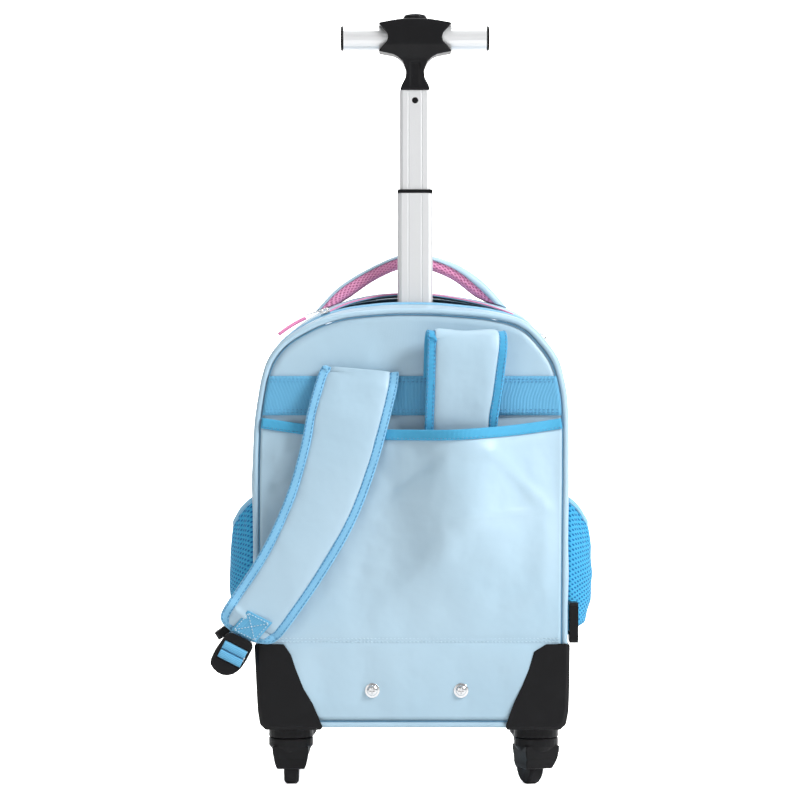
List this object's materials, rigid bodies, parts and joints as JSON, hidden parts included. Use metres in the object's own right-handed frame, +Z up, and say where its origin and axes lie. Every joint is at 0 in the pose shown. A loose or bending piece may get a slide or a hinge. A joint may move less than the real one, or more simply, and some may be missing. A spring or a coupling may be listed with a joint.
{
  "type": "wheeled backpack",
  "caption": "Upright cloth backpack with a telescopic T-grip mast, stowable shoulder straps, side pockets, corner guards and swivel casters.",
  "frame": {"origin": "on the floor under the middle of the bag's bounding box", "axes": "+Z up along the mast, +Y from the strap side towards the front, +X to the right as seen from the strap side"},
  "size_m": [0.4016, 0.2348, 0.8138],
  "materials": {
    "body_cloth": "satin coated cloth, pale blue",
    "blue_trim": "ribbed webbing and binding, blue",
    "blue_mesh": "knitted mesh, bright blue",
    "pink_mesh": "spacer mesh and cord, pink",
    "black_plastic": "satin moulded, black",
    "tyre": "matte, dark grey",
    "mast_metal": "satin anodised",
    "zip_metal": "plated, bright"
  },
  "bodies": {
    "bag": {"back_panel": "body_cloth", "back_gusset": "body_cloth", "main_gusset": "body_cloth", "front_gusset": "body_cloth", "front_panel": "body_cloth", "stow_pocket": "body_cloth", "left_strap": "body_cloth", "right_strap": "body_cloth", "handle_cover": "body_cloth", "back_piping": "blue_trim", "front_piping": "blue_trim", "slot_zip_back": "blue_trim", "slot_zip_front": "blue_trim", "main_zip": "blue_trim", "webbing_band": "blue_trim", "stow_binding": "blue_trim", "left_strap_binding": "blue_trim", "left_strap_patch": "blue_trim", "lock_webbing": "blue_trim", "adjuster_webbing": "blue_trim", "left_clip_tab": "blue_trim", "right_clip_tab": "blue_trim", "right_strap_binding": "blue_trim", "left_side_pocket_hem": "blue_trim", "right_side_pocket_hem": "blue_trim", "left_side_pocket": "blue_mesh", "right_side_pocket": "blue_mesh", "handle_pad": "pink_mesh", "zip_pull_cord": "pink_mesh", "ladder_lock": "black_plastic", "left_clip": "black_plastic", "right_clip": "black_plastic", "left_rear_guard": "black_plastic", "left_front_guard": "black_plastic", "right_rear_guard": "black_plastic", "right_front_guard": "black_plastic", "mast_sleeve": "mast_metal", "slot_slider": "zip_metal", "main_slider": "zip_metal", "left_rivet": "zip_metal", "right_rivet": "zip_metal"},
    "mast_middle": {"mast_middle_tube": "mast_metal", "mast_collar": "black_plastic"},
    "mast_inner": {"mast_inner_tube": "mast_metal", "tube_pin": "black_plastic", "grip_hub": "black_plastic", "grip_bar": "mast_metal", "bar_cap_left": "black_plastic", "bar_cap_right": "black_plastic"},
    "button": {"grip_button": "black_plastic"},
    "left_rear_caster": {"left_rear_fork": "black_plastic"},
    "left_rear_roller": {"left_rear_wheel": "tyre"},
    "left_front_caster": {"left_front_fork": "black_plastic"},
    "left_front_roller": {"left_front_wheel": "tyre"},
    "right_rear_caster": {"right_rear_fork": "black_plastic"},
    "right_rear_roller": {"right_rear_wheel": "tyre"},
    "right_front_caster": {"right_front_fork": "black_plastic"},
    "right_front_roller": {"right_front_wheel": "tyre"}
  },
  "joints": [
    {"name": "middle_tube_slide", "type": "slide", "parent": "bag", "child": "mast_middle", "axis": [0, 0, 1], "range_m": [-0.112, 0]},
    {"name": "inner_tube_slide", "type": "slide", "parent": "mast_middle", "child": "mast_inner", "axis": [0, 0, 1], "range_m": [-0.098, 0]},
    {"name": "button_press", "type": "slide", "parent": "mast_inner", "child": "button", "axis": [0, 0, 1], "range_m": [-0.0035, 0], "stiffness_N_per_m": 300},
    {"name": "left_rear_swivel", "type": "hinge", "parent": "bag", "child": "left_rear_caster", "pos_m": [-0.1192, -0.04683, 0.05], "axis": [0, 0, 1], "continuous": true},
    {"name": "left_rear_spin", "type": "hinge", "parent": "left_rear_caster", "child": "left_rear_roller", "pos_m": [-0.1192, -0.03083, 0.021], "axis": [1, 0, 0], "continuous": true},
    {"name": "left_front_swivel", "type": "hinge", "parent": "bag", "child": "left_front_caster", "pos_m": [-0.1192, 0.07157, 0.05], "axis": [0, 0, 1], "continuous": true},
    {"name": "left_front_spin", "type": "hinge", "parent": "left_front_caster", "child": "left_front_roller", "pos_m": [-0.1192, 0.08757, 0.021], "axis": [1, 0, 0], "continuous": true},
    {"name": "right_rear_swivel", "type": "hinge", "parent": "bag", "child": "right_rear_caster", "pos_m": [0.1388, -0.04683, 0.05], "axis": [0, 0, 1], "continuous": true},
    {"name": "right_rear_spin", "type": "hinge", "parent": "right_rear_caster", "child": "right_rear_roller", "pos_m": [0.13307, -0.03189, 0.021], "axis": [0.9336, 0.3584, 0], "continuous": true},
    {"name": "right_front_swivel", "type": "hinge", "parent": "bag", "child": "right_front_caster", "pos_m": [0.1388, 0.07157, 0.05], "axis": [0, 0, 1], "continuous": true},
    {"name": "right_front_spin", "type": "hinge", "parent": "right_front_caster", "child": "right_front_roller", "pos_m": [0.1388, 0.08757, 0.021], "axis": [1, 0, 0], "continuous": true}
  ]
}
